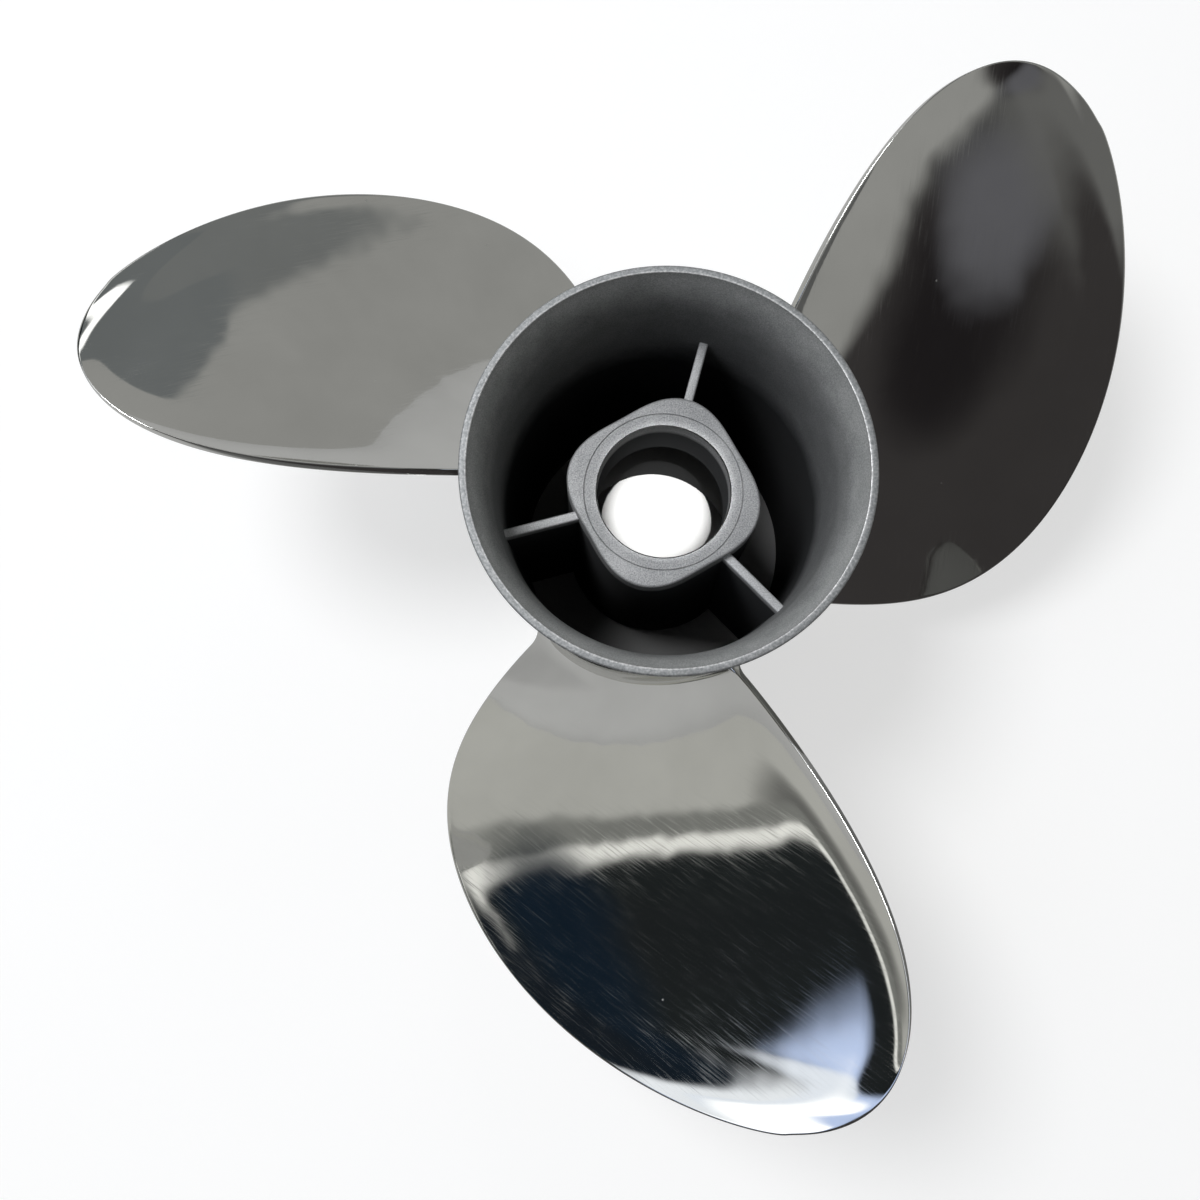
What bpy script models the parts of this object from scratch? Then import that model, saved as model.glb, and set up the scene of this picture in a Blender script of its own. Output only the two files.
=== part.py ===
"""Three-blade stainless steel boat propeller, cast in one piece.

The exhaust leaves through the barrel, round an inner hub on three ribs.
Frame: metres, origin at the centre of the forward end, +Z aft along the shaft.
The propeller turns clockwise seen from aft, so it is a right-hand screw.
"""
import math

import bmesh
import bpy

MM = 0.001
INCH = 0.0254

# Driving dimensions of the whole propeller
DIAMETER = 14.75 * INCH
PITCH = 19.0 * INCH
BLADES = 3
LENGTH = 155.0 * MM
TURN_STEPS = 72

# Barrel, with a flared ring round its aft mouth
BARREL_FRONT_RADIUS = 54.0 * MM
BARREL_AFT_RADIUS = 55.5 * MM
BARREL_FRONT_BORE = 50.0 * MM
FLARE_LENGTH = 26.0 * MM
FLARE_BORE_LENGTH = 19.0 * MM
FLARE_BORE_RADIUS = 53.2 * MM
RIM_RADIUS = 60.5 * MM
RIM_WALL = 2.4 * MM
RIM_ROUND = 0.6 * MM

# Inner hub, four-lobed at its aft face and round at its forward end
HUB_AFT = LENGTH - 38.8 * MM
HUB_FORWARD = 2.0 * MM
HUB_AFT_RADIUS = 29.3 * MM
HUB_FORWARD_RADIUS = 33.0 * MM
LOBES = 4
LOBE_RISE = 1.95 * MM
LOBE_ANGLE = math.radians(75.2)
HUB_BORE_RADIUS = 21.2 * MM
BORE_LAND = 28.0 * MM
SOCKET_WALL = 4.4 * MM
SOCKET_MOUTH_RADIUS = 30.6 * MM

# Ribs between the inner hub and the barrel
RIB_THICKNESS = 2.6 * MM
RIB_ANGLE = math.radians(75.2)
RIB_AFT = HUB_AFT - 3.6 * MM
RIB_FORWARD = 3.5 * MM
RIB_INNER_RADIUS = 27.2 * MM
RIB_INNER_SLANT = 4.6 * MM
RIB_OUTER_RADIUS = 53.4 * MM

# Blade outline as two Bezier curves from root to tip: wrap angle in degrees, radius in mm
BLADE_ANGLE = math.radians(-90.0)
ROOT_RADIUS_MM = 53.2
TIP_RADIUS_MM = DIAMETER / 2 / MM
TIP_WRAP = 10.4
LEADING_EDGE = [(-52.0, ROOT_RADIUS_MM), (-39.5, 124.0), (-46.0, 127.0),
                (5.6, TIP_RADIUS_MM), (TIP_WRAP, TIP_RADIUS_MM)]
TRAILING_EDGE = [(21.6, ROOT_RADIUS_MM), (32.9, 71.5), (31.4, 205.0),
                 (14.0, TIP_RADIUS_MM), (TIP_WRAP, TIP_RADIUS_MM)]

# Blade surface: a helicoid raked aft, with less pitch towards the tip
MID_RADIUS = 120.0 * MM
MID_WRAP = math.radians(10.0)
MID_HEIGHT = 105.6 * MM
RAKE = 0.32
RAKE_CURL = 1.4 * MM
RAKE_CURL_SPAN = 60.0 * MM
UNLOAD_RADIUS = 140.0 * MM
TIP_PITCH_LOSS = 102.0 * MM

# Blade section
ROOT_THICKNESS = 10.0 * MM
TIP_THICKNESS = 3.4 * MM
LEADING_THICKNESS = 1.6 * MM
TRAILING_THICKNESS = 2.6 * MM
FACE_HOLLOW = 1.6 * MM
CUP_PART = 0.07
CUP_PART_AT_END = 0.02
CUP_END = 0.78
TIP_BLEND = 0.6
FILLET_HEIGHT = 9.0 * MM
FILLET_WIDTH = 5.0 * MM
LEADING_FLARE = 1.5 * MM
TRAILING_FLARE = 4.0 * MM
CHORD_STEPS = 12
SPAN_STEPS = 20
TIP_CUT = 0.93


def clear_scene():
    """Remove whatever objects the file holds."""
    for obj in list(bpy.data.objects):
        bpy.data.objects.remove(obj, do_unlink=True)


def new_collection(name):
    """Add a collection to the scene."""
    collection = bpy.data.collections.new(name)
    bpy.context.scene.collection.children.link(collection)
    return collection


def new_object(name, bm, collection):
    """Turn a bmesh into an object in the collection."""
    mesh = bpy.data.meshes.new(name)
    bm.to_mesh(mesh)
    bm.free()
    obj = bpy.data.objects.new(name, mesh)
    collection.objects.link(obj)
    return obj


def mark_as_guide(obj):
    """Keep a solid that is only joined to another out of the renders."""
    obj.hide_render = True
    obj.display_type = 'WIRE'


def loft(rings, closed):
    """Skin rings of equal count; closed joins the last ring to the first."""
    bm = bmesh.new()
    loops = [[bm.verts.new(point) for point in ring] for ring in rings]
    count = len(rings[0])
    pairs = list(zip(loops, loops[1:]))
    if closed:
        pairs.append((loops[-1], loops[0]))
    for low, high in pairs:
        for i in range(count):
            j = (i + 1) % count
            bm.faces.new((low[i], low[j], high[j], high[i]))
    return bm, loops


def barrel_profile():
    """Closed half-section of the barrel: down the outside, then up the bore."""
    points = []
    flare_rise = RIM_RADIUS - BARREL_AFT_RADIUS
    flare_steps = 6
    points.append((RIM_RADIUS - RIM_ROUND, LENGTH))
    points.append((RIM_RADIUS, LENGTH - RIM_ROUND))
    for i in range(1, flare_steps + 1):
        part = i / flare_steps
        ease = (1.0 - part) ** 1.7
        points.append((BARREL_AFT_RADIUS + flare_rise * ease,
                       LENGTH - RIM_ROUND - (FLARE_LENGTH - RIM_ROUND) * part))
    points.append((BARREL_FRONT_RADIUS, 0.0))
    points.append((BARREL_FRONT_BORE, 0.0))
    points.append((FLARE_BORE_RADIUS, LENGTH - FLARE_BORE_LENGTH))
    points.append((RIM_RADIUS - RIM_WALL, LENGTH))
    return points


def make_barrel(collection):
    """Turn the barrel's section round the shaft."""
    bm = bmesh.new()
    verts = [bm.verts.new((radius, 0.0, height)) for radius, height in barrel_profile()]
    for first, second in zip(verts, verts[1:] + verts[:1]):
        bm.edges.new((first, second))
    barrel = new_object("propeller_casting", bm, collection)
    screw = barrel.modifiers.new("turn", 'SCREW')
    screw.axis = 'Z'
    screw.angle = 2.0 * math.pi
    screw.steps = TURN_STEPS
    screw.render_steps = TURN_STEPS
    screw.use_merge_vertices = True
    screw.merge_threshold = 0.00001
    return barrel


def lobed_ring(radius, rise, height):
    """Ring whose radius swells into the hub's four lobes."""
    points = []
    for i in range(TURN_STEPS):
        angle = 2.0 * math.pi * i / TURN_STEPS
        swell = rise * math.cos(LOBES * (angle - LOBE_ANGLE))
        points.append(((radius + swell) * math.cos(angle),
                       (radius + swell) * math.sin(angle), height))
    return points


def hub_outside(height):
    """Mean radius and lobe rise of the hub's outside at a height."""
    part = (height - HUB_FORWARD) / (HUB_AFT - HUB_FORWARD)
    radius = HUB_FORWARD_RADIUS + (HUB_AFT_RADIUS - HUB_FORWARD_RADIUS) * part
    return radius, LOBE_RISE * part


def make_inner_hub(collection):
    """Loft the inner hub: outside, aft face, bore, then the socket for the drive sleeve."""
    land = HUB_AFT - BORE_LAND
    land_radius, land_rise = hub_outside(land)
    rings = [lobed_ring(HUB_FORWARD_RADIUS, 0.0, HUB_FORWARD),
             lobed_ring(land_radius, land_rise, land),
             lobed_ring(HUB_AFT_RADIUS, LOBE_RISE, HUB_AFT),
             lobed_ring(HUB_BORE_RADIUS, 0.0, HUB_AFT),
             lobed_ring(HUB_BORE_RADIUS, 0.0, land),
             lobed_ring(land_radius - SOCKET_WALL, land_rise, land),
             lobed_ring(SOCKET_MOUTH_RADIUS, 0.0, HUB_FORWARD)]
    bm, _ = loft(rings, closed=True)
    return new_object("inner_hub_solid", bm, collection)


def make_rib(index, collection):
    """Box rib from the inner hub to the barrel, its inner edge slanted to stay in the hub's wall."""
    bm = bmesh.new()
    bmesh.ops.create_cube(bm, size=1.0)
    length = RIB_OUTER_RADIUS - RIB_INNER_RADIUS
    height = RIB_AFT - RIB_FORWARD
    bmesh.ops.scale(bm, verts=bm.verts, vec=(length, RIB_THICKNESS, height))
    bmesh.ops.translate(bm, verts=bm.verts, vec=((RIB_OUTER_RADIUS + RIB_INNER_RADIUS) / 2, 0.0,
                                                 (RIB_AFT + RIB_FORWARD) / 2))
    for vert in bm.verts:
        if vert.co.x < RIB_INNER_RADIUS + length / 2 and vert.co.z < RIB_FORWARD + height / 2:
            vert.co.x += RIB_INNER_SLANT
    rib = new_object("rib_solid_%d" % (index + 1), bm, collection)
    rib.rotation_euler.z = RIB_ANGLE + 2.0 * math.pi * index / BLADES
    return rib


def bezier(points, t):
    """Point on a Bezier curve of any degree."""
    points = [tuple(point) for point in points]
    while len(points) > 1:
        points = [tuple(a + (b - a) * t for a, b in zip(first, second))
                  for first, second in zip(points, points[1:])]
    return points[0]


def helix_slope(radius):
    """Rise of the blade surface for each radian of turn."""
    outward = max(0.0, (radius - UNLOAD_RADIUS) / (DIAMETER / 2 - UNLOAD_RADIUS))
    return (PITCH - TIP_PITCH_LOSS * outward ** 2) / (2.0 * math.pi)


def blade_height(radius, wrap):
    """Height of the plain blade surface at a radius and wrap angle."""
    out = radius - MID_RADIUS
    rake = RAKE * out + RAKE_CURL * (out / RAKE_CURL_SPAN) ** 2
    return MID_HEIGHT + rake + helix_slope(radius) * (wrap - MID_WRAP)


def fillet_swell(radius, chord):
    """How far the root fillet stands off the blade, fading out at the blade's edges."""
    depth = 1.0 - (radius - BARREL_FRONT_RADIUS) / FILLET_HEIGHT
    fade = 1.0 - (2.0 * chord - 1.0) ** 4
    return FILLET_WIDTH * fade * min(max(depth, 0.0), 1.0) ** 2


def edge_spread(radius, chord):
    """Angle by which the blade's edges flare where they meet the barrel."""
    depth = min(max(1.0 - (radius - BARREL_FRONT_RADIUS) / FILLET_HEIGHT, 0.0), 1.0)
    side = 2.0 * chord - 1.0
    flare = TRAILING_FLARE if side > 0.0 else LEADING_FLARE
    return side * flare * depth ** 2 / math.hypot(radius, helix_slope(radius))


def section_thickness(span, chord):
    """Blade thickness at a part of the span and of the chord."""
    full = ROOT_THICKNESS + (TIP_THICKNESS - ROOT_THICKNESS) * span ** 0.8
    edge = LEADING_THICKNESS + (TRAILING_THICKNESS - LEADING_THICKNESS) * chord
    return edge + (full - edge) * math.sin(math.pi * chord ** 0.9)


def cup_at(t):
    """Strength of the cup, and the part of the chord that its lip takes, along the outline."""
    strength = max(0.0, 1.0 - (t / CUP_END) ** 4)
    return strength, CUP_PART_AT_END + (CUP_PART - CUP_PART_AT_END) * math.sqrt(strength)


def face_lift(t, chord):
    """Lift of the face: hollow between its edges, then up the straight lip of the cup.

    The outline is the face's at the leading edge and round the tip, and the back's at the
    trailing edge.
    """
    strength, lip = cup_at(t)
    inner = min(1.0, chord / (1.0 - lip))
    into_lip = max(0.0, 1.0 - (1.0 - chord) / lip)
    hollow = FACE_HOLLOW * strength * math.sin(math.pi / 2 * inner) * (1.0 - into_lip)
    toward_tip = min(max((t - TIP_BLEND) / (1.0 - TIP_BLEND), 0.0), 1.0)
    return TRAILING_THICKNESS * chord ** 2 * (1.0 - toward_tip) ** 2 - hollow


def chord_parts(t):
    """Parts of the chord where a section has points: dense at both edges, one at the lip's fold."""
    _, lip = cup_at(t)
    inner = [0.5 - 0.5 * math.cos(math.pi * i / CHORD_STEPS) for i in range(CHORD_STEPS + 1)]
    return [(1.0 - lip) * part for part in inner] + [1.0]


def blade_point(radius, wrap, lift):
    """Point of the blade surface, lifted along the helix's normal."""
    lead = math.atan2(helix_slope(radius), radius)
    turn = wrap - lift * math.sin(lead) / radius
    height = blade_height(radius, wrap) + lift * math.cos(lead)
    return (radius * math.cos(turn), radius * math.sin(turn), height)


def blade_section(t):
    """Closed section at outline parameter t: face from leading to trailing edge, then the back."""
    lead_wrap, lead_radius = bezier(LEADING_EDGE, t)
    trail_wrap, trail_radius = bezier(TRAILING_EDGE, t)
    face = []
    back = []
    for chord in chord_parts(t):
        radius = (lead_radius + (trail_radius - lead_radius) * chord) * MM
        wrap = math.radians(lead_wrap + (trail_wrap - lead_wrap) * chord)
        wrap += edge_spread(radius, chord)
        span = (radius / MM - ROOT_RADIUS_MM) / (TIP_RADIUS_MM - ROOT_RADIUS_MM)
        lift = face_lift(t, chord)
        swell = fillet_swell(radius, chord)
        face.append(blade_point(radius, wrap, lift + swell))
        back.append(blade_point(radius, wrap, lift - section_thickness(span, chord) - swell))
    return face + back[::-1]


def make_blade(index, collection):
    """Loft one blade through its sections and close its root and tip."""
    sections = []
    for i in range(SPAN_STEPS + 1):
        t = math.sin(math.pi / 2 * i / SPAN_STEPS * TIP_CUT)
        sections.append(blade_section(t ** 1.15))
    bm, loops = loft(sections, closed=False)
    for loop in (loops[0], loops[-1]):
        last = len(loop) - 1
        for i in range(CHORD_STEPS + 1):
            bm.faces.new((loop[i], loop[i + 1], loop[last - i - 1], loop[last - i]))
    bmesh.ops.recalc_face_normals(bm, faces=bm.faces)
    blade = new_object("blade_solid_%d" % (index + 1), bm, collection)
    blade.rotation_euler.z = BLADE_ANGLE + 2.0 * math.pi * index / BLADES
    return blade


def polished_steel():
    """Cast stainless steel, polished to a mirror on the blades."""
    material = bpy.data.materials.new("polished_stainless_casting")
    material.use_nodes = True
    shader = material.node_tree.nodes["Principled BSDF"]
    shader.inputs["Base Color"].default_value = (0.56, 0.56, 0.55, 1.0)
    shader.inputs["Metallic"].default_value = 1.0
    shader.inputs["Roughness"].default_value = 0.12
    return material


def join(casting, solids):
    """Fuse the solids into the casting with Boolean unions."""
    for solid in solids:
        mark_as_guide(solid)
        union = casting.modifiers.new("fuse_" + solid.name, 'BOOLEAN')
        union.operation = 'UNION'
        union.solver = 'EXACT'
        union.object = solid


def build():
    """Make the propeller."""
    clear_scene()
    parts = new_collection("boat_propeller")
    guides = new_collection("joined_solids")
    casting = make_barrel(parts)
    solids = [make_inner_hub(guides)]
    for index in range(BLADES):
        solids.append(make_rib(index, guides))
        solids.append(make_blade(index, guides))
    join(casting, solids)
    casting.data.materials.append(polished_steel())


build()
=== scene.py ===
import math

import bmesh
import bpy
from mathutils import Matrix, Vector, kdtree


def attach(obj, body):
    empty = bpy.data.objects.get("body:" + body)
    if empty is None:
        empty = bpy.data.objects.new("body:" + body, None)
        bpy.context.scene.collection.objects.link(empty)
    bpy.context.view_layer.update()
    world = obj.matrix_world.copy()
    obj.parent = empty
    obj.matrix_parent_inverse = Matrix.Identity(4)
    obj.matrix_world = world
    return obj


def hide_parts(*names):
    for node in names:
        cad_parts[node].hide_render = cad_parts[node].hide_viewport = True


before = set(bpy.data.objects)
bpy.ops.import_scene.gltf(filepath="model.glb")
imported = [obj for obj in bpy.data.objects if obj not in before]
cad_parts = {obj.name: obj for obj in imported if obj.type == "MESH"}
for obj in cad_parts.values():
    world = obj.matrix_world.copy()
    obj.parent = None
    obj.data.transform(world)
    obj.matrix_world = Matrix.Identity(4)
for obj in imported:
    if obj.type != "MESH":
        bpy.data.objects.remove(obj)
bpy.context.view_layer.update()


# Inner hub: the tube that takes the drive sleeve and the shaft. It is cast in one with the propeller,
# four-lobed at its aft face and round at its forward end. It stays as blasted with grit, but for the
# bore's bright edge, which is turned on a lathe, as is the fine ring round the thrust washer's seat.
mm = 0.001
length = 155.0 * mm
turn_steps = 256
hub_aft = 116.2 * mm
hub_forward = 2.0 * mm
hub_aft_radius = 29.3 * mm
hub_forward_radius = 33.0 * mm
hub_edge_round = 0.9 * mm
hub_forward_chamfer = 0.8 * mm
lobes = 4
lobe_rise = 1.95 * mm
lobe_angle = math.radians(75.2)
bore_radius = 21.2 * mm
bore_chamfer = 0.35 * mm
bore_land = 88.2 * mm
socket_radius = 25.8 * mm
socket_rise = 1.5 * mm
socket_mouth = 30.6 * mm
ring_radius = 25.2 * mm
ring_width = 0.42 * mm
ring_depth = 0.35 * mm


def corner_round(outer, inner, steps):
    """Points of a quarter round from the point outer to the point inner, whose corner is cut off."""
    corner = Vector((outer[0], inner[1]))
    points = []
    for i in range(steps + 1):
        turn = math.pi / 2 * i / steps
        across = (inner[0] - corner.x) * (1.0 - math.cos(turn))
        along = (outer[1] - corner.y) * (1.0 - math.sin(turn))
        points.append((corner.x + across, corner.y + along))
    return points


def turn_profile(bm, profile, steps):
    """Spin a closed half-section, given as radius and height, once round the shaft."""
    verts = [bm.verts.new((radius, 0.0, height)) for radius, height in profile]
    edges = [bm.edges.new(pair) for pair in zip(verts, verts[1:] + verts[:1])]
    bmesh.ops.spin(bm, geom=verts + edges, cent=(0, 0, 0), axis=(0, 0, 1), dvec=(0, 0, 0),
                   angle=2 * math.pi, steps=steps, use_merge=True, use_duplicate=False)


def finish_piece(name, bm, materials, sharp_angle):
    """Make the mesh a piece of the casting, with its normals out, and smooth but for its sharp edges."""
    bmesh.ops.recalc_face_normals(bm, faces=bm.faces)
    for face in bm.faces:
        face.smooth = True
    for edge in bm.edges:
        if len(edge.link_faces) == 2 and edge.calc_face_angle(0.0) > math.radians(sharp_angle):
            edge.smooth = False
    mesh = bpy.data.meshes.new(name)
    bm.to_mesh(mesh)
    bm.free()
    for material in materials:
        mesh.materials.append(material)
    piece = bpy.data.objects.new(name, mesh)
    bpy.context.scene.collection.objects.link(piece)
    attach(piece, "root")
    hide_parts("propeller_casting")


def linear(hex_colour):
    """sRGB hex as a linear colour."""
    values = [int(hex_colour[i:i + 2], 16) / 255 for i in (1, 3, 5)]
    return [v / 12.92 if v <= 0.04045 else ((v + 0.055) / 1.055) ** 2.4 for v in values] + [1.0]


def add(tree, kind, settings=None, **links):
    """Add a node with its settings, its ramp's stops, its socket values and its links.

    A socket is given by its name, or as i0, i1 and so on by its place among the node's inputs.
    """
    node = tree.nodes.new(kind)
    for key, value in (settings or {}).items():
        if key == "stops":
            elements = node.color_ramp.elements
            while len(elements) < len(value):
                elements.new(0.5)
            for element, (position, colour) in zip(elements, value):
                element.position = position
                element.color = colour
        else:
            setattr(node, key, value)
    for key, value in links.items():
        name = key.replace("_", " ")
        socket = node.inputs[int(key[1:])] if key[0] == "i" and key[1:].isdigit() else node.inputs[name]
        if isinstance(value, bpy.types.NodeSocket):
            tree.links.new(value, socket)
        else:
            socket.default_value = value
    return node


def new_material(name):
    """Empty material with its output; returns it with its node tree and a Principled shader."""
    material = bpy.data.materials.new(name)
    material.use_nodes = True
    tree = material.node_tree
    return material, tree, tree.nodes["Principled BSDF"]


def blasted_steel(name, tones, painted_shade_heights, wander):
    """Stainless steel, cast and grit-blasted, with painted shade that darkens it further down the passages.

    The grit of about 0.4 mm leaves it dull, so half of its light is scattered as by a matt surface. A
    fine grain shows, with cloudy changes of tone about 11 mm apart from the casting skin. The painted
    shade makes it matt, not metallic and near-black. It is given as heights, from low to high, with the
    share of painted shade at each, and its edges wander up and down by the given height.
    """
    material, tree, shader = new_material(name)
    place = add(tree, "ShaderNodeTexCoord").outputs["Object"]
    grit = add(tree, "ShaderNodeTexNoise", Vector=place, Scale=1 / (0.44 * mm), Detail=2.0, Roughness=0.6)
    skin = add(tree, "ShaderNodeTexNoise", Vector=place, Scale=1 / (11 * mm), Detail=4.0, Roughness=0.6)
    tone = add(tree, "ShaderNodeMix", {"data_type": "FLOAT"}, Factor=0.3,
               A=grit.outputs["Fac"], B=skin.outputs["Fac"])
    metal = add(tree, "ShaderNodeValToRGB",
                {"stops": [(0.37, linear(tones[0])), (0.5, linear(tones[1])), (0.63, linear(tones[2]))]},
                i0=tone.outputs[0])
    height = add(tree, "ShaderNodeSeparateXYZ", i0=place)
    uneven = add(tree, "ShaderNodeMath", {"operation": "MULTIPLY_ADD"}, i0=skin.outputs["Fac"],
                 i1=wander, i2=height.outputs["Z"])
    # Painted shade: matt, not metallic and near-black, the more so the lower it lies, by the given heights.
    low, high = painted_shade_heights[0][0], painted_shade_heights[-1][0]
    depth = add(tree, "ShaderNodeMapRange", i0=uneven.outputs[0], i1=low + wander / 2,
                i2=high + wander / 2)
    stops = [((z - low) / (high - low), (share, share, share, 1.0)) for z, share in painted_shade_heights]
    painted_shade_share = add(tree, "ShaderNodeValToRGB", {"stops": stops}, i0=depth.outputs[0])
    colour = add(tree, "ShaderNodeMix", {"data_type": "RGBA"}, i0=painted_shade_share.outputs["Color"],
                 i6=metal.outputs["Color"], i7=linear("#1c1e20"))
    tree.links.new(colour.outputs[2], shader.inputs["Base Color"])
    rough = add(tree, "ShaderNodeMapRange", i0=grit.outputs["Fac"], i1=0.3, i2=0.7, i3=0.72, i4=0.55)
    dull = add(tree, "ShaderNodeMix", {"data_type": "FLOAT"}, Factor=painted_shade_share.outputs["Color"],
               A=rough.outputs[0], B=0.95)
    tree.links.new(dull.outputs[0], shader.inputs["Roughness"])
    bare = add(tree, "ShaderNodeMapRange", i0=painted_shade_share.outputs["Color"], i1=0.0, i2=1.0, i3=0.5, i4=0.0)
    tree.links.new(bare.outputs[0], shader.inputs["Metallic"])
    pits = add(tree, "ShaderNodeBump", Strength=0.7, Distance=0.09 * mm, Height=grit.outputs["Fac"])
    tree.links.new(pits.outputs["Normal"], shader.inputs["Normal"])
    return material


# The hub and the ribs get no painted shade down to 5.5 mm below the hub's aft face, and are painted
# black with shade from 9 mm down, deep in the passages.
hub_painted_shade_heights = ((hub_aft - 9 * mm, 1.0), (hub_aft - 5.5 * mm, 0.0))
hub_blasted = blasted_steel("stainless_blasted_hub", ("#8a8b8c", "#a3a4a4", "#bababa"), hub_painted_shade_heights,
                            wander=2 * mm)

# Stainless steel, turned: bright, with tool marks about 0.3 mm apart round the shaft.
turned, tree, shader = new_material("stainless_turned_on_lathe")
place = add(tree, "ShaderNodeTexCoord").outputs["Object"]
marks = add(tree, "ShaderNodeMapping", Vector=place, Scale=(8.0, 8.0, 1 / (0.3 * mm)))
tool = add(tree, "ShaderNodeTexNoise", Vector=marks.outputs[0], Scale=1.0, Detail=2.0)
bright = add(tree, "ShaderNodeValToRGB", {"stops": [(0.3, linear("#a3a3a1")), (0.7, linear("#d2d1cd"))]},
             i0=tool.outputs["Fac"])
tree.links.new(bright.outputs["Color"], shader.inputs["Base Color"])
cut = add(tree, "ShaderNodeBump", Strength=0.3, Distance=0.03 * mm, Height=tool.outputs["Fac"])
tree.links.new(cut.outputs["Normal"], shader.inputs["Normal"])
shader.inputs["Metallic"].default_value = 1.0
shader.inputs["Roughness"].default_value = 0.22

hub_profile = [(hub_forward_radius, hub_forward + hub_forward_chamfer)]
hub_profile += corner_round((hub_aft_radius, hub_aft - hub_edge_round),
                            (hub_aft_radius - hub_edge_round, hub_aft), 6)
hub_profile += [(ring_radius + ring_width / 2, hub_aft), (ring_radius, hub_aft - ring_depth),
                (ring_radius - ring_width / 2, hub_aft),
                (bore_radius + bore_chamfer, hub_aft), (bore_radius, hub_aft - bore_chamfer),
                (bore_radius, bore_land), (socket_radius, bore_land),
                (socket_mouth, hub_forward), (hub_forward_radius - hub_forward_chamfer, hub_forward)]
bm = bmesh.new()
turn_profile(bm, hub_profile, turn_steps)
for vert in bm.verts:
    radius = math.hypot(vert.co.x, vert.co.y)
    part = (vert.co.z - hub_forward) / (hub_aft - hub_forward)
    rise = 0.0
    if radius > ring_radius + ring_width:
        rise = lobe_rise * part
        if radius < socket_radius + 0.1 * mm:
            rise = socket_rise
    if rise:
        swell = 1.0 + rise * math.cos(lobes * (math.atan2(vert.co.y, vert.co.x) - lobe_angle)) / radius
        vert.co.x *= swell
        vert.co.y *= swell
hub_finishes = [hub_blasted, turned]
for face in bm.faces:
    centre = face.calc_center_median()
    if math.hypot(centre.x, centre.y) < bore_radius + bore_chamfer and centre.z > hub_aft - bore_chamfer:
        face.material_index = hub_finishes.index(turned)
finish_piece("inner_hub", bm, hub_finishes, sharp_angle=28.0)


# Ribs: three plain webs that carry the inner hub in the barrel and leave the exhaust three passages.
# They are cast in one with both, the first of them on a lobe of the hub, and blasted like the hub. Their
# aft edges are rounded.
rib_thickness = 3.0 * mm
rib_aft = hub_aft - 3.6 * mm
rib_forward = 3.5 * mm
rib_inner = 27.2 * mm
rib_inner_slant = 4.6 * mm
rib_outer = 52.9 * mm
rib_edge_round = 0.6 * mm

# Stainless steel, blasted: dull like the hub's, and painted a little paler than it, as painted light that
# stands for the light which the rim and the hub keep off the ribs.
rib_blasted = blasted_steel("stainless_blasted_ribs", ("#a6a7a7", "#b8b9b9", "#c9caca"), hub_painted_shade_heights,
                            wander=2 * mm)

bm = bmesh.new()
bmesh.ops.create_cube(bm, size=1.0)
bmesh.ops.scale(bm, verts=bm.verts, vec=(rib_outer - rib_inner, rib_thickness, rib_aft - rib_forward))
bmesh.ops.translate(bm, verts=bm.verts, vec=((rib_outer + rib_inner) / 2, 0, (rib_aft + rib_forward) / 2))
for vert in bm.verts:
    if vert.co.x < rib_inner + 1 * mm and vert.co.z < rib_aft - 1 * mm:
        vert.co.x += rib_inner_slant
aft_edges = [e for e in bm.edges if min(v.co.z for v in e.verts) > rib_aft - 1 * mm
             and abs(e.verts[0].co.x - e.verts[1].co.x) > 1 * mm]
bmesh.ops.bevel(bm, geom=aft_edges, offset=rib_edge_round, offset_type="OFFSET", affect="EDGES",
                segments=4, profile=0.5, material=-1)
bmesh.ops.rotate(bm, verts=bm.verts, cent=(0, 0, 0), matrix=Matrix.Rotation(lobe_angle, 3, "Z"))
rib_geometry = bm.verts[:] + bm.edges[:] + bm.faces[:]
for index in (1, 2):
    copy = bmesh.ops.duplicate(bm, geom=rib_geometry)["geom"]
    bmesh.ops.rotate(bm, verts=[v for v in copy if isinstance(v, bmesh.types.BMVert)], cent=(0, 0, 0),
                     matrix=Matrix.Rotation(2 * math.pi * index / 3, 3, "Z"))
finish_piece("ribs", bm, [rib_blasted], sharp_angle=40.0)


# Barrel: the outer hub, a slightly tapered tube with a flared ring round its aft mouth. The outside is
# polished with the blades, the bore stays blasted, and the ring's face is only ground flat by hand.
barrel_front_radius = 54.0 * mm
barrel_aft_radius = 55.5 * mm
barrel_front_chamfer = 0.5 * mm
barrel_front_bore = 50.02 * mm
bore_front_chamfer = 0.48 * mm
barrel_middle = 112.0 * mm
barrel_middle_bore = 51.95 * mm
flare_length = 26.0 * mm
flare_power = 1.7
flare_steps = 24
mouth_length = 19.0 * mm
mouth_radius = 53.2 * mm
mouth_bulge = 0.12
mouth_steps = 12
rim_radius = 60.5 * mm
rim_wall = 2.4 * mm
rim_outer_round = 0.6 * mm
rim_inner_round = 0.35 * mm


def barrel_radius(height):
    """Outside radius of the barrel forward of its flare."""
    part = min(height / (length - flare_length), 1.0)
    return barrel_front_radius + (barrel_aft_radius - barrel_front_radius) * part


def mark_polish_lines(bm, along_and_across):
    """Keep, in metres, where each corner lies along and across the lines that the buffing leaves."""
    layer = bm.loops.layers.uv.new("polish_lines")
    for face in bm.faces:
        centre = face.calc_center_median()
        for corner in face.loops:
            corner[layer].uv = along_and_across(corner.vert.co, centre)


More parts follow.
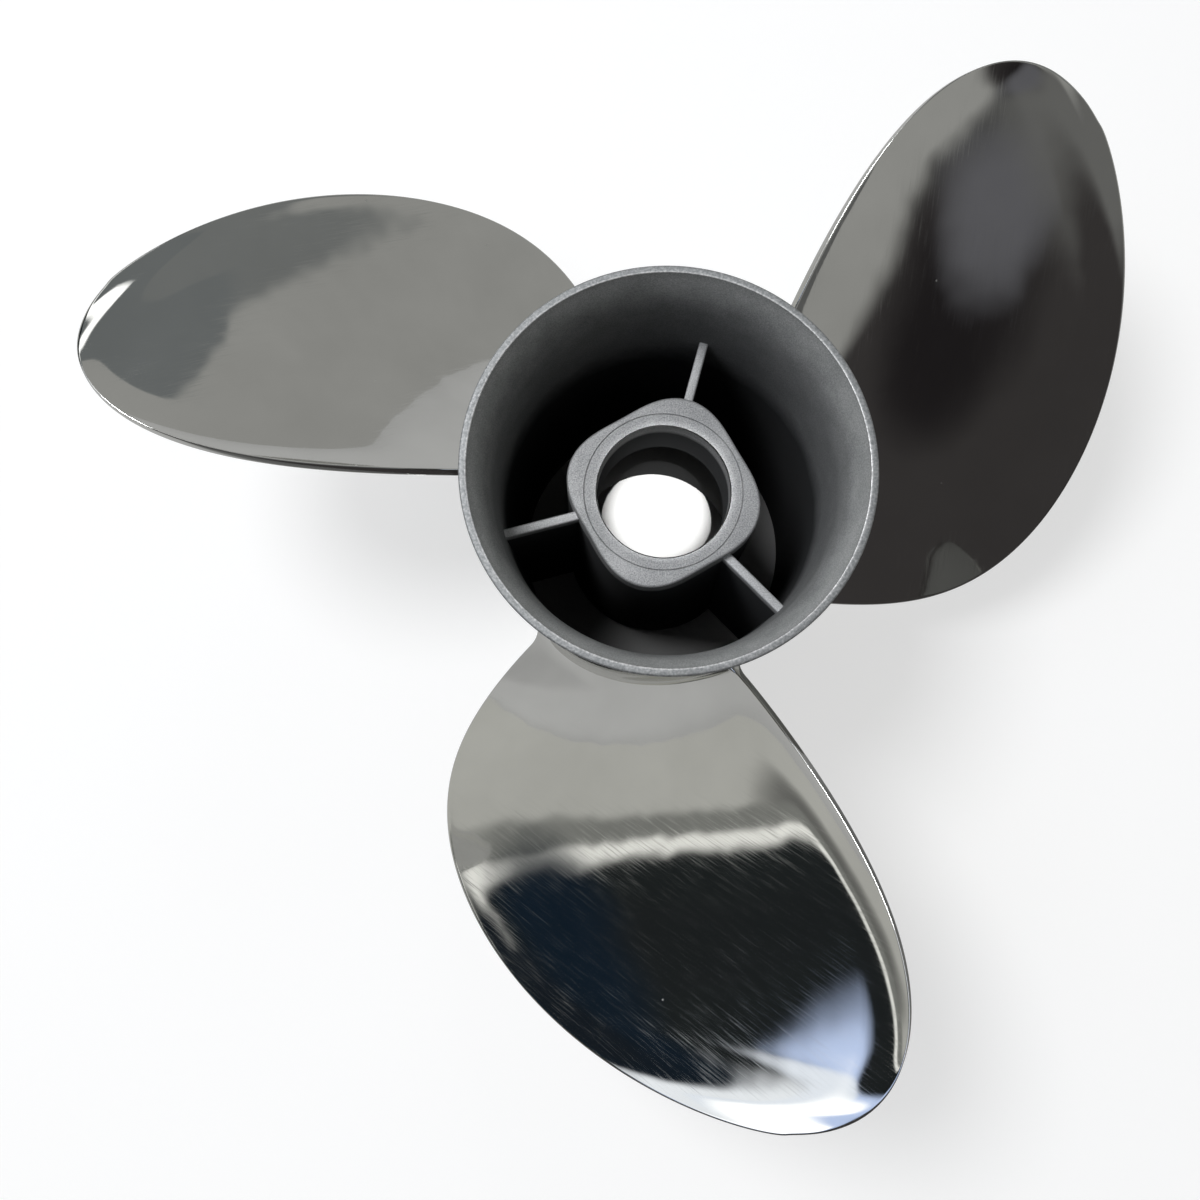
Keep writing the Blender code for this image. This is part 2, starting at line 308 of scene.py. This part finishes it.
# Stainless steel, polished to a mirror on buffing wheels: clear reflections, with fine hairlines in one
# direction that catch the light, a slight ripple 17 mm long from the wheels, and a few small casting
# pits. The hairlines are 0.05 mm wide on the real blade, and drawn 0.22 mm wide so that they show.
polished, tree, shader = new_material("stainless_mirror_polished")
place = add(tree, "ShaderNodeTexCoord").outputs["Object"]
lines = add(tree, "ShaderNodeUVMap", {"uv_map": "polish_lines"}).outputs["UV"]
steady = add(tree, "ShaderNodeMapping", Vector=lines, Scale=(1 / (11 * mm), 1 / (0.22 * mm), 1.0))
crossing = add(tree, "ShaderNodeMapping", Vector=lines, Rotation=(0.0, 0.0, math.radians(9)),
               Scale=(1 / (17 * mm), 1 / (0.4 * mm), 1.0))
hair = add(tree, "ShaderNodeTexNoise", {"noise_dimensions": "2D"}, Vector=steady.outputs[0], Scale=1.0,
           Detail=1.0, Roughness=0.5)
stray = add(tree, "ShaderNodeTexNoise", {"noise_dimensions": "2D"}, Vector=crossing.outputs[0], Scale=1.0,
            Detail=2.0, Roughness=0.6)
hairs = add(tree, "ShaderNodeMix", {"data_type": "FLOAT"}, Factor=0.4, A=hair.outputs["Fac"],
            B=stray.outputs["Fac"]).outputs[0]
ripple = add(tree, "ShaderNodeTexNoise", Vector=place, Scale=1 / (17 * mm), Detail=1.0, Roughness=0.4)
cloud = add(tree, "ShaderNodeTexNoise", Vector=place, Scale=1 / (45 * mm), Detail=3.0, Roughness=0.6)
metal = add(tree, "ShaderNodeValToRGB", {"stops": [(0.3, linear("#cacac7")), (0.7, linear("#d4d4d1"))]},
            i0=cloud.outputs["Fac"])
tree.links.new(metal.outputs["Color"], shader.inputs["Base Color"])
pit = add(tree, "ShaderNodeTexVoronoi", Vector=place, Scale=1 / (17 * mm))
pitted = add(tree, "ShaderNodeMapRange", i0=pit.outputs["Distance"], i1=0.012, i2=0.03, i3=0.35, i4=0.0)
haze = add(tree, "ShaderNodeMapRange", i0=hairs, i1=0.5, i2=0.72, i3=0.04, i4=0.155)
rough = add(tree, "ShaderNodeMath", {"operation": "ADD"}, i0=haze.outputs[0], i1=pitted.outputs[0])
tree.links.new(rough.outputs[0], shader.inputs["Roughness"])
wave = add(tree, "ShaderNodeBump", Strength=0.2, Distance=0.5 * mm, Height=ripple.outputs["Fac"])
scratch = add(tree, "ShaderNodeBump", Strength=0.03, Distance=0.02 * mm, Height=hairs,
              Normal=wave.outputs["Normal"])
tree.links.new(scratch.outputs["Normal"], shader.inputs["Normal"])
shader.inputs["Metallic"].default_value = 1.0

# Stainless steel, blasted and then ground by hand: mid-grey with glints about 0.8 mm apart, which its
# dents make and which are also painted in as paler specks. Along its inner edge, with breaks, it is
# smoother and painted bright as a highlight.
ground, tree, shader = new_material("stainless_ground_rim")
place = add(tree, "ShaderNodeTexCoord").outputs["Object"]
coarse = add(tree, "ShaderNodeTexNoise", Vector=place, Scale=1 / (0.8 * mm), Detail=4.0, Roughness=0.7)
face_tone = add(tree, "ShaderNodeValToRGB",
                {"stops": [(0.34, linear("#7b7d7e")), (0.5, linear("#8f9191")), (0.68, linear("#b0b1b1"))]},
                i0=coarse.outputs["Fac"])
flat = add(tree, "ShaderNodeVectorMath", {"operation": "MULTIPLY"}, i0=place, i1=(1.0, 1.0, 0.0))
out = add(tree, "ShaderNodeVectorMath", {"operation": "LENGTH"}, i0=flat.outputs[0])
# Painted highlight: a bright band, with breaks, along the rim's inner edge.
inner_edge = add(tree, "ShaderNodeMapRange", i0=out.outputs["Value"], i1=rim_radius - rim_wall + 0.4 * mm,
                 i2=rim_radius - rim_wall + 0.75 * mm, i3=1.0, i4=0.0)
broken = add(tree, "ShaderNodeMapRange", i0=coarse.outputs["Fac"], i1=0.4, i2=0.66, i3=0.2, i4=0.75)
edge_highlight = add(tree, "ShaderNodeMath", {"operation": "MULTIPLY"}, i0=inner_edge.outputs[0],
           i1=broken.outputs[0])
colour = add(tree, "ShaderNodeMix", {"data_type": "RGBA"}, i0=edge_highlight.outputs[0],
             i6=face_tone.outputs["Color"], i7=linear("#d6d6d4"))
tree.links.new(colour.outputs[2], shader.inputs["Base Color"])
rough = add(tree, "ShaderNodeMapRange", i0=edge_highlight.outputs[0], i1=0.0, i2=1.0, i3=0.55, i4=0.3)
tree.links.new(rough.outputs[0], shader.inputs["Roughness"])
dents = add(tree, "ShaderNodeBump", Strength=0.4, Distance=0.12 * mm, Height=coarse.outputs["Fac"])
tree.links.new(dents.outputs["Normal"], shader.inputs["Normal"])
shader.inputs["Metallic"].default_value = 0.6

# Stainless steel, blasted: pale and clean at the mouth, and painted darker with shade, and matt, the
# deeper it lies.
barrel_blasted = blasted_steel("stainless_blasted_barrel_bore", ("#a3a5a4", "#b7b9b8", "#cbcccb"),
                               ((length - 66 * mm, 1.0), (length - 50 * mm, 0.72), (length - 27 * mm, 0.66),
                                (length - 15 * mm, 0.5), (length - 8 * mm, 0.22), (length - 3 * mm, 0.0)),
                               wander=6 * mm)

barrel_profile = [(barrel_front_radius - barrel_front_chamfer, 0.0),
                  (barrel_front_radius, barrel_front_chamfer)]
flare_base = length - flare_length
flare_top = length - rim_outer_round
for i in range(flare_steps + 1):
    part = i / flare_steps
    barrel_profile.append((barrel_aft_radius + (rim_radius - barrel_aft_radius) * part ** flare_power,
                           flare_base + (flare_top - flare_base) * part))
barrel_profile += corner_round((rim_radius, flare_top), (rim_radius - rim_outer_round, length), 5)[1:]
barrel_profile += corner_round((rim_radius - rim_wall, length - rim_inner_round),
                               (rim_radius - rim_wall + rim_inner_round, length), 4)[::-1]
mouth_base = length - mouth_length
for i in range(1, mouth_steps + 1):
    part = i / mouth_steps
    ease = part + mouth_bulge * math.sin(math.pi * part)
    barrel_profile.append((rim_radius - rim_wall + (mouth_radius - rim_radius + rim_wall) * ease,
                           length - rim_inner_round + (mouth_base - length + rim_inner_round) * part))
barrel_profile += [(barrel_middle_bore, barrel_middle), (barrel_front_bore, barrel_front_chamfer),
                   (barrel_front_bore + bore_front_chamfer, 0.0)]
bm = bmesh.new()
turn_profile(bm, barrel_profile, turn_steps)
bmesh.ops.recalc_face_normals(bm, faces=bm.faces)
barrel_finishes = [polished, barrel_blasted, ground]
for face in bm.faces:
    centre = face.calc_center_median()
    if centre.z > length - rim_outer_round or centre.z < 0.1 * mm:
        face.material_index = barrel_finishes.index(ground)
    elif face.normal.x * centre.x + face.normal.y * centre.y < 0.0:
        face.material_index = barrel_finishes.index(barrel_blasted)


def round_the_barrel(corner, centre):
    """Distance round the barrel and height of a corner, counted on from its face's centre."""
    off_centre = math.atan2(centre.x * corner.y - centre.y * corner.x,
                            centre.x * corner.x + centre.y * corner.y)
    return (math.atan2(centre.x, -centre.y) + off_centre) * barrel_aft_radius, corner.z


mark_polish_lines(bm, round_the_barrel)
finish_piece("barrel", bm, barrel_finishes, sharp_angle=30.0)


# Blades: three alike, raked aft and cupped along the trailing edge, cast with the barrel and faired
# into it by round fillets. Each is a face and a back sheet that meet round a thin edge.
inch = 25.4 * mm
tip_radius = 14.75 / 2 * inch
root_radius = 53.2 * mm
pitch = 19 * inch
first_blade = math.radians(-90)

# The two edges as Bezier curves from root to tip: degrees round the shaft, and distance from it. A
# little of each, at parameters under 0, lies inside the barrel.
leading_edge = ((-52.0, root_radius), (-39.5, 124.0 * mm), (-46.0, 127.0 * mm), (5.6, tip_radius),
                (10.4, tip_radius))
trailing_edge = ((21.6, root_radius), (32.9, 71.5 * mm), (31.4, 205.0 * mm), (14.0, tip_radius),
                 (10.4, tip_radius))
below_root = -0.03
above_fillet = 0.4

middle_radius = 120.0 * mm
middle_height = 105.6 * mm
middle_wrap = math.radians(10)
rake = 0.32
rake_curl = 1.4 * mm
rake_curl_span = 60.0 * mm
unloaded_from = 140.0 * mm
tip_pitch_loss = 102.0 * mm

root_thickness = 10.0 * mm
tip_thickness = 3.4 * mm
thinning_power = 0.8
belly_power = 0.9
leading_thickness = 1.7 * mm
trailing_thickness = 2.6 * mm
thickening = 0.10
leading_round = 0.8 * mm
trailing_round = 0.45 * mm
cup_depth = 2.1 * mm
cup_width = 13.0 * mm
cup_share = 0.3
lip_power = 2.2
fillet_radius = 7.5 * mm
fillet_sink = 0.006 * mm
root_sink = 1.2 * mm
polish_slant = math.radians(-33)

# Parts of the way from root to tip, or for the last one across the chord, where a form comes or goes.
root_thins = (0.0, 0.1)
cup_grows = (0.06, 0.36)
cup_fades = (0.6, 0.76)
tip_evens = (0.6, 0.85)
edge_changes = (0.4, 0.6)


def bezier(points, t):
    """Point on a Bezier curve of any degree."""
    points = [Vector(p) for p in points]
    while len(points) > 1:
        points = [a.lerp(b, t) for a, b in zip(points, points[1:])]
    return points[0]


def smooth_step(low, high, value):
    """Rise from 0 at low to 1 at high, level at both ends."""
    part = min(max((value - low) / (high - low), 0.0), 1.0)
    return part * part * (3.0 - 2.0 * part)


def helix_slope(radius):
    """Rise of the blade surface for each radian of turn; the tip is unloaded by less pitch."""
    outward = max(0.0, (radius - unloaded_from) / (tip_radius - unloaded_from))
    return (pitch - tip_pitch_loss * outward ** 2) / (2 * math.pi)


def blade_height(radius, wrap):
    """Height of the plain blade surface, a helicoid raked aft."""
    out = radius - middle_radius
    raked = rake * out + rake_curl * (out / rake_curl_span) ** 2
    return middle_height + raked + helix_slope(radius) * (wrap - middle_wrap)


def outline_at(t):
    """Leading point, trailing point and the length of the chord between them."""
    lead = bezier(leading_edge, t)
    trail = bezier(trailing_edge, t)
    radius = (lead.y + trail.y) / 2
    along_the_helix = math.hypot(radius, helix_slope(radius)) * math.radians(trail.x - lead.x)
    return lead, trail, math.hypot(along_the_helix, trail.y - lead.y)


def fillet_rise(distance, radius):
    """How far a round fillet stands off one face at a distance from the other."""
    if distance >= radius:
        return 0.0
    return radius * (1.0 - math.sqrt(1.0 - (1.0 - max(distance, 0.0) / radius) ** 2))


def lifts(t, chord, chord_length, radius, from_outline):
    """Lift of the face and of the back off the plain surface, with the edge rounded off."""
    from_edge = (1.0 - chord) * chord_length
    width = max(min(cup_width, cup_share * chord_length), 0.01 * mm)
    cupped = smooth_step(*cup_grows, t) * (1.0 - smooth_step(*cup_fades, t))
    hollow = math.sin(math.pi / 2 * min(chord * chord_length / max(chord_length - width, 1e-6), 1.0))
    lip = max(1.0 - from_edge / width, 0.0) ** lip_power
    uneven = 1.0 - smooth_step(*tip_evens, t)
    face = trailing_thickness * chord ** 2 * uneven - cup_depth * cupped * (hollow - lip)
    span = max((radius - root_radius) / (tip_radius - root_radius), 0.0)
    full = root_thickness + (tip_thickness - root_thickness) * span ** thinning_power
    edge = leading_thickness + (trailing_thickness - leading_thickness) * chord * uneven
    thick = edge + (full - edge) * math.sin(math.pi * chord ** belly_power)
    at_root = 1.0 - smooth_step(*root_thins, t)
    thick = min(thick, edge + thickening * from_outline + (full - edge) * at_root)
    corner = leading_round + (trailing_round - leading_round) * smooth_step(*edge_changes, chord) * uneven
    drop = fillet_rise(from_outline, corner)
    return face - drop, face - thick + drop


def chord_at(column, chord_length):
    """Part of the chord at a column: set distances off both edges, and even steps between them."""
    scale = mm / max(chord_length, shortest_chord)
    low = leading_offsets[-1] * scale
    high = 1.0 - trailing_offsets[-1] * scale
    if column < len(leading_offsets):
        return leading_offsets[column] * scale
    column -= len(leading_offsets) - 1
    if column < middle_columns:
        return low + (high - low) * column / middle_columns
    column -= middle_columns
    return 1.0 - trailing_offsets[-1 - column] * scale


def plain_point(t, column):
    """Radius, wrap angle, height, chord part and chord length at a column of the blade's grid."""
    lead, trail, chord_length = outline_at(t)
    chord = chord_at(column, chord_length)
    radius = lead.y + (trail.y - lead.y) * chord
    wrap = math.radians(lead.x + (trail.x - lead.x) * chord)
    return radius, wrap, blade_height(radius, wrap), chord, chord_length


def outline_parameter(column, stand_off):
    """Outline parameter at which the column stands a given distance off the barrel, by halving."""
    low, high = below_root, above_fillet
    for _ in range(halvings):
        middle = (low + high) / 2
        radius, wrap, height = plain_point(middle, column)[:3]
        if radius - barrel_radius(height) < stand_off:
            low = middle
        else:
            high = middle
    return (low + high) / 2


def at_cylinder(radius, wrap, height):
    """Point of the first blade from its radius, wrap angle and height."""
    turn = wrap + first_blade
    return Vector((radius * math.cos(turn), radius * math.sin(turn), height))


# The blade's grid. Its columns are crowded toward the edges, at these distances in millimetres off
# them, so that the edges round off smoothly. Its rows are those of the fillet and then of the span. Where
# the fillet fans out round a thin edge, its directions are evened out among neighbours in some passes.
leading_offsets = (0.0, 0.04, 0.12, 0.25, 0.42, 0.6, 0.8, 1.1, 1.8, 3.0, 5.0)
trailing_offsets = (0.0, 0.03, 0.08, 0.16, 0.28, 0.45, 0.7, 1.1, 1.7, 2.4, 3.2, 4.0, 4.9, 5.8, 6.8, 7.8,
                    8.9, 10.0, 11.2, 12.6, 14.2, 16.5)
middle_columns = 44
shortest_chord = 40 * mm
halvings = 26
columns = len(leading_offsets) + middle_columns + len(trailing_offsets) - 1
fillet_rows = 14
fan_passes = 12
span_rows = 112
outline_points = 1200

outline_spots = []
outline = kdtree.KDTree(2 * outline_points)
for i in range(outline_points):
    for edge in outline_at(below_root + (1.0 - below_root) * i / (outline_points - 1))[:2]:
        wrap = math.radians(edge.x)
        spot = at_cylinder(edge.y, wrap, blade_height(edge.y, wrap))
        outline.insert(spot, len(outline_spots))
        outline_spots.append(spot)
outline.balance()


def distance_to_outline(point):
    """Distance from the blade's outline, taken to the straight pieces between its points."""
    spot, index, nearest = outline.find(point)
    for other in (index - 2, index + 2):
        if 0 <= other < len(outline_spots):
            along = outline_spots[other] - spot
            part = min(max((point - spot).dot(along) / max(along.length_squared, 1e-18), 0.0), 1.0)
            nearest = min(nearest, (spot + along * part - point).length)
    return nearest


fillet_tops = [outline_parameter(column, fillet_radius - fillet_sink) for column in range(columns)]


def blade_row(row):
    """Face points and back points of one row of the blade's grid, from root to tip."""
    face_row, back_row = [], []
    turn = math.pi / 2 * min(max(row - 1, 0) / fillet_rows, 1.0)
    stand_off = fillet_radius * (1.0 - math.cos(turn)) - fillet_sink
    if row == 0:
        stand_off = -root_sink
    for column in range(columns):
        if row <= fillet_rows:
            t = outline_parameter(column, stand_off)
        else:
            t = fillet_tops[column]
            t += (1.0 - t) * (row - 1 - fillet_rows) / span_rows
        radius, wrap, height, chord, chord_length = plain_point(t, column)
        from_outline = distance_to_outline(at_cylinder(radius, wrap, height))
        lead_angle = math.atan2(helix_slope(radius), radius)
        face, back = lifts(t, chord, chord_length, radius, from_outline)
        for lift, points in ((face, face_row), (back, back_row)):
            points.append([radius, wrap - lift * math.sin(lead_angle) / radius,
                           height + lift * math.cos(lead_angle)])

    # In the fillet, each point moves out from the blade, over the barrel, by what the round adds there.
    swell = fillet_radius * (1.0 - math.sin(turn))
    if swell > 0.0:
        loop = face_row + back_row[::-1]
        flat = [Vector((radius * wrap, height)) for radius, wrap, height in loop]
        along = [(flat[(i + 1) % len(flat)] - flat[i - 1]).normalized() for i in range(len(flat))]
        for _ in range(fan_passes):
            along = [(along[i - 1] + 2.0 * along[i] + along[(i + 1) % len(along)]).normalized()
                     for i in range(len(along))]
        for point, way in zip(loop, along):
            stand_off = point[0] - barrel_radius(point[2])
            point[1] -= way.y * swell / point[0]
            point[2] += way.x * swell
            point[0] = barrel_radius(point[2]) + stand_off
    return face_row, back_row


rows = [blade_row(row) for row in range(fillet_rows + span_rows + 2)]
bm = bmesh.new()
for side in (0, 1):
    sheet = bmesh.ops.create_grid(bm, x_segments=columns - 1, y_segments=len(rows) - 1, size=1.0)["verts"]
    for vert in sheet:
        column = round((vert.co.x + 1.0) / 2 * (columns - 1))
        row = round((vert.co.y + 1.0) / 2 * (len(rows) - 1))
        vert.co = at_cylinder(*rows[row][side][column])
bmesh.ops.bridge_loops(bm, edges=[edge for edge in bm.edges if edge.is_boundary])
bmesh.ops.remove_doubles(bm, verts=bm.verts, dist=0.002 * mm)

# The blade's foot ends flush with the barrel's forward end.
bmesh.ops.bisect_plane(bm, geom=bm.verts[:] + bm.edges[:] + bm.faces[:], dist=0.001 * mm,
                       plane_co=(0, 0, 0.01 * mm), plane_no=(0, 0, 1), clear_inner=True)
bmesh.ops.holes_fill(bm, edges=[edge for edge in bm.edges if edge.is_boundary], sides=0)


def across_the_blade(corner, centre):
    """Distances along and across the hairlines, which cross the first blade at one slant in plan."""
    return (corner.x * math.cos(polish_slant) + corner.y * math.sin(polish_slant),
            corner.y * math.cos(polish_slant) - corner.x * math.sin(polish_slant))


mark_polish_lines(bm, across_the_blade)
for index in range(3):
    one = bm.copy()
    bmesh.ops.rotate(one, verts=one.verts, cent=(0, 0, 0),
                     matrix=Matrix.Rotation(2 * math.pi * index / 3, 3, "Z"))
    finish_piece("blade_%d" % (index + 1), one, [polished], sharp_angle=55.0)
bm.free()


# Floor, light and camera: a pale studio floor, one large soft light overhead, and pale walls that fade
# into a dark room, which the polished steel shows as clear light and dark fields.
bm = bmesh.new()
bmesh.ops.create_circle(bm, cap_ends=True, segments=96, radius=4.0)
mesh = bpy.data.meshes.new("studio_floor")
bm.to_mesh(mesh)
bm.free()
floor = bpy.data.objects.new("studio_floor", mesh)
bpy.context.scene.collection.objects.link(floor)

# White paper, rolled: matt, with a grain drawn 0.6 mm wide so that it shows. The camera sees it paler
# than the steel does, which mirrors it grey, with a painted glow that fades toward the dark corner of the
# room as painted shade. It is lifted by a painted glow of its own, but for the round under the barrel,
# which keeps the shade that the barrel casts.
paper, tree, shader = new_material("white_paper_floor")
seen = add(tree, "ShaderNodeLightPath").outputs["Is Camera Ray"]
place = add(tree, "ShaderNodeTexCoord").outputs["Object"]
grain = add(tree, "ShaderNodeTexNoise", Vector=place, Scale=1 / (0.6 * mm), Detail=2.0)
pale = add(tree, "ShaderNodeValToRGB", {"stops": [(0.3, linear("#b2b2b1")), (0.7, linear("#b6b6b5"))]},
           i0=grain.outputs["Fac"])
paper_tone = add(tree, "ShaderNodeMix", {"data_type": "RGBA"}, i0=seen, i6=linear("#6a6a68"),
                 i7=pale.outputs["Color"])
tree.links.new(paper_tone.outputs[2], shader.inputs["Base Color"])
out = add(tree, "ShaderNodeVectorMath", {"operation": "LENGTH"}, i0=place)
beside = add(tree, "ShaderNodeMapRange", {"interpolation_type": "SMOOTHSTEP"}, i0=out.outputs["Value"],
             i1=50.5 * mm, i2=53.5 * mm)
toward_dark = add(tree, "ShaderNodeVectorMath", {"operation": "DOT_PRODUCT"}, i0=place,
                  i1=(0.71, -0.71, 0.0))
mirrored = add(tree, "ShaderNodeMapRange", i0=toward_dark.outputs["Value"], i1=0.0, i2=150 * mm,
               i3=0.42, i4=0.05)
lift = add(tree, "ShaderNodeMix", {"data_type": "FLOAT"}, Factor=seen, A=mirrored.outputs[0], B=0.6)
lift = add(tree, "ShaderNodeMath", {"operation": "MULTIPLY"}, i0=lift.outputs[0], i1=beside.outputs[0])
tree.links.new(lift.outputs[0], shader.inputs["Emission Strength"])
shader.inputs["Emission Color"].default_value = linear("#ffffff")
shader.inputs["Roughness"].default_value = 0.9
mesh.materials.append(paper)


def from_hub(polar, azimuth):
    """Direction from the hub, in degrees from straight up and round from +X."""
    polar, azimuth = math.radians(polar), math.radians(azimuth)
    level = math.sin(polar)
    return Vector((level * math.cos(azimuth), level * math.sin(azimuth), math.cos(polar)))


def hang_lamp(lamp, toward, distance, aim):
    """Hang a lamp in a direction from the hub, aimed at a point."""
    obj = bpy.data.objects.new(lamp.name, lamp)
    obj.location = toward * distance
    obj.rotation_euler = (obj.location - Vector(aim)).to_track_quat("Z", "Y").to_euler()
    bpy.context.scene.collection.objects.link(obj)


softbox = bpy.data.lights.new("overhead_softbox", "AREA")
softbox.shape = "DISK"
softbox.size = 0.5
softbox.energy = 13.0
softbox.color = linear("#fbfcff")[:3]
hang_lamp(softbox, from_hub(23, 150), 1.6, (0, 0, 0.1))

# A narrow lamp that shines down the bore, just as wide as it is, and lights the floor under it.
bore_lamp = bpy.data.lights.new("bore_lamp", "SPOT")
bore_lamp.spot_size = math.radians(1.64)
bore_lamp.spot_blend = 0.1
bore_lamp.shadow_soft_size = 0.004
bore_lamp.energy = 210.0
hang_lamp(bore_lamp, from_hub(6.9, -98), 1.5, (0.0005, 0.0002, hub_aft))

# The room round the stage, dark grey with round fields of light, as the polished steel shows them: a
# pale wall behind a dark shade, a broad window high on the left, a grey wall, a dark corner, dark
# overhead. Each has its centre, in degrees from straight up and round from +X, the angles where it is
# solid and where it has faded out, its colour as seen in the steel, and its strength.
room_shade = "#404040"
room_fields = (
    (95, 160, 45, 50, "#a0a09c", 1.0),
    (70, -169, 3, 12, "#5c5c5a", 1.0),
    (30.6, 161.2, 44.6, 46.6, "#6e6f6c", 1.0),
    (30.6, 161.2, 41.2, 42.6, "#dcdcd8", 1.0),
    (30.6, 161.2, 38.6, 40.6, "#1a1d1e", 1.0),
    (44, 115, 20, 22, "#14191f", 1.0),
    (62, 140, 2, 12, "#101a24", 1.0),
    (31, 163, 15, 19.5, "#b9c9ea", 1.0),
    (30, 180, 12, 24, "#b6c6e8", 1.0),
    (38.2, 135, 13, 16.8, "#e4e8ee", 1.0),
    (45, 154, 3.5, 6.5, "#dfe5ef", 1.0),
    (26, 160, 15, 21, "#ffffff", 1.3),
    (90, 22, 67, 71, "#868684", 1.0),
    (30, 52, 31.5, 34, "#656767", 1.0),
    (44, 74, 20.5, 22, "#5f6263", 1.0),
    (70, -88, 40, 46, "#302e2e", 1.0),
    (59, -62, 5, 20, "#1b191a", 1.0),
    (46, -54, 3, 12, "#545458", 1.0),
    (12, -45, 23, 33, "#5b5b5a", 1.0),
    (50, 84, 5, 9.5, "#ffffff", 1.2),
    (0, 0, 9, 13, "#101010", 1.0),
)
steel_reflectance = 0.62
world = bpy.data.worlds.new("studio_room")
bpy.context.scene.world = world
world.use_nodes = True
tree = world.node_tree
aim = add(tree, "ShaderNodeTexCoord").outputs["Generated"]


def room_light(hex_colour, strength):
    """Light that the steel shows in the given colour."""
    return [value * strength / steel_reflectance for value in linear(hex_colour)[:3]] + [1.0]


room = add(tree, "ShaderNodeRGB")
room.outputs[0].default_value = room_light(room_shade, 1.0)
room = room.outputs[0]
for polar, azimuth, solid, faded, colour, strength in room_fields:
    nearness = add(tree, "ShaderNodeVectorMath", {"operation": "DOT_PRODUCT"}, i0=aim,
                   i1=from_hub(polar, azimuth))
    field = add(tree, "ShaderNodeMapRange", {"interpolation_type": "SMOOTHSTEP"},
                i0=nearness.outputs["Value"], i1=math.cos(math.radians(faded)),
                i2=math.cos(math.radians(solid)), i3=0.0, i4=1.0)
    room = add(tree, "ShaderNodeMix", {"data_type": "RGBA"}, i0=field.outputs[0], i6=room,
               i7=room_light(colour, strength)).outputs[2]
seen = add(tree, "ShaderNodeLightPath").outputs["Is Camera Ray"]
sky = add(tree, "ShaderNodeMix", {"data_type": "RGBA"}, i0=seen, i6=room, i7=linear("#f8f8f7"))
tree.links.new(sky.outputs[2], tree.nodes["Background"].inputs["Color"])

# The camera has the photograph's viewpoint, 0.4 m over the hub's aft face and 12 degrees off the shaft.
camera_place = Vector((-0.01593, -0.08248, 0.51536))
right = Vector((0.99991, 0.00820, 0.01073))
up = Vector((-0.01030, 0.97692, 0.21337))
back = right.cross(up).normalized()
up = back.cross(right).normalized()
camera_data = bpy.data.cameras.new("studio_camera")
camera = bpy.data.objects.new("studio_camera", camera_data)
camera.matrix_world = Matrix.Translation(camera_place) @ Matrix((right, up, back)).transposed().to_4x4()
camera_data.sensor_width = 36.0
camera_data.lens = 38.67
camera_data.shift_x = -0.0205
camera_data.shift_y = -0.1034
bpy.context.scene.collection.objects.link(camera)
bpy.context.scene.camera = camera
bpy.context.scene.view_settings.view_transform = "Standard"
